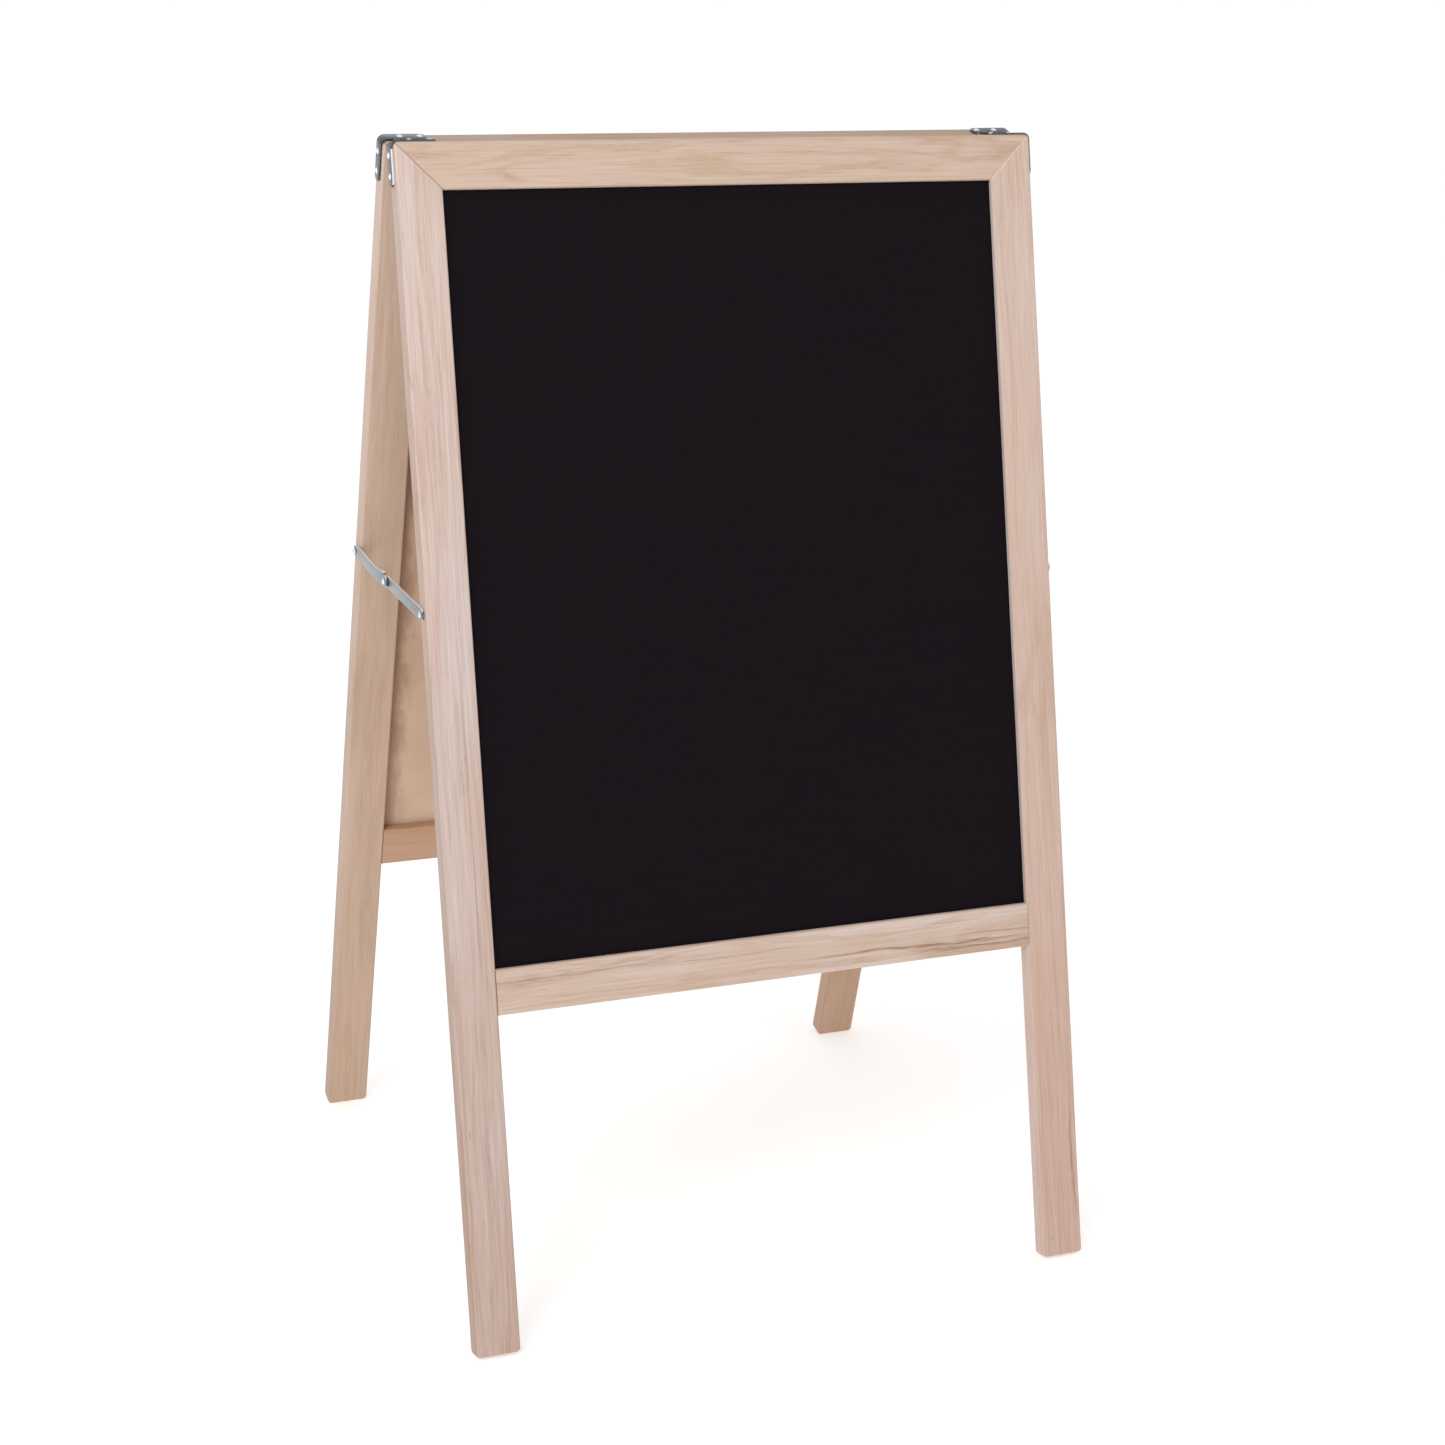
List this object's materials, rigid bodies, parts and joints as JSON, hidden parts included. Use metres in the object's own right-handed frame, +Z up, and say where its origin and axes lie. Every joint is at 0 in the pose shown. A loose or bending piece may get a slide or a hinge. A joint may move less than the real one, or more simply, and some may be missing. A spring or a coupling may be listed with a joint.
{
  "type": "sandwich board",
  "caption": "Folding A-frame chalkboard sign: timber frames hinged at the top, each holding a black writing panel, with folding side braces.",
  "frame": {"origin": "on the floor, midway between the four feet, when the sign stands open", "axes": "+Z up, -Y the way the front panel faces, +X to the right of a reader of the front panel"},
  "size_m": [0.6226, 0.5614, 1.0408],
  "materials": {
    "oak": "unfinished, planed and eased",
    "hardboard": "smooth-faced pressed hardboard",
    "chalkboard": "matt black chalkboard coating",
    "dowel": "fluted beech",
    "zinc_steel": "zinc-plated steel",
    "steel": "bright steel"
  },
  "bodies": {
    "front_frame": {"front_left_stile": "oak", "front_right_stile": "oak", "front_top_rail": "oak", "front_bottom_rail": "oak", "front_board": "hardboard", "front_chalk_coat": "chalkboard", "front_rail_dowels": "dowel", "front_mitre_nails": "steel", "left_front_leaf": "zinc_steel", "left_front_leaf_screws": "zinc_steel", "left_front_pivot_screw": "zinc_steel", "right_front_leaf": "zinc_steel", "right_front_leaf_screws": "zinc_steel", "right_front_pivot_screw": "zinc_steel", "left_hinge_pin": "steel", "right_hinge_pin": "steel"},
    "rear_frame": {"rear_left_stile": "oak", "rear_right_stile": "oak", "rear_top_rail": "oak", "rear_bottom_rail": "oak", "rear_board": "hardboard", "rear_chalk_coat": "chalkboard", "rear_rail_dowels": "dowel", "rear_mitre_nails": "steel", "left_rear_leaf": "zinc_steel", "left_rear_leaf_screws": "zinc_steel", "left_rear_pivot_screw": "zinc_steel", "right_rear_leaf": "zinc_steel", "right_rear_leaf_screws": "zinc_steel", "right_rear_pivot_screw": "zinc_steel"},
    "left_front_brace": {"left_front_link": "zinc_steel"},
    "left_rear_brace": {"left_rear_link": "zinc_steel", "left_brace_rivet": "zinc_steel"},
    "right_front_brace": {"right_front_link": "zinc_steel"},
    "right_rear_brace": {"right_rear_link": "zinc_steel", "right_brace_rivet": "zinc_steel"}
  },
  "joints": [
    {"name": "top_fold", "type": "hinge", "parent": "front_frame", "child": "rear_frame", "pos_m": [0, 0, 1.0365], "axis": [1, 0, 0], "range_deg": [-27.8, 0]},
    {"name": "left_front_brace_pivot", "type": "hinge", "parent": "front_frame", "child": "left_front_brace", "pos_m": [-0.3061, -0.11282, 0.64515], "axis": [1, 0, 0], "range_deg": [0, 68.4]},
    {"name": "left_rear_brace_pivot", "type": "hinge", "parent": "rear_frame", "child": "left_rear_brace", "pos_m": [-0.3061, 0.11282, 0.64515], "axis": [1, 0, 0], "range_deg": [-68.4, 0]},
    {"name": "right_front_brace_pivot", "type": "hinge", "parent": "front_frame", "child": "right_front_brace", "pos_m": [0.3061, -0.11282, 0.64515], "axis": [1, 0, 0], "range_deg": [0, 68.4]},
    {"name": "right_rear_brace_pivot", "type": "hinge", "parent": "rear_frame", "child": "right_rear_brace", "pos_m": [0.3061, 0.11282, 0.64515], "axis": [1, 0, 0], "range_deg": [-68.4, 0]}
  ],
  "couplings": [
    {"joint": "left_front_brace_pivot", "follows": "top_fold", "ratio": -2.4534},
    {"joint": "left_rear_brace_pivot", "follows": "top_fold", "ratio": 2.4534},
    {"joint": "right_front_brace_pivot", "follows": "top_fold", "ratio": -2.4534},
    {"joint": "right_rear_brace_pivot", "follows": "top_fold", "ratio": 2.4534}
  ]
}
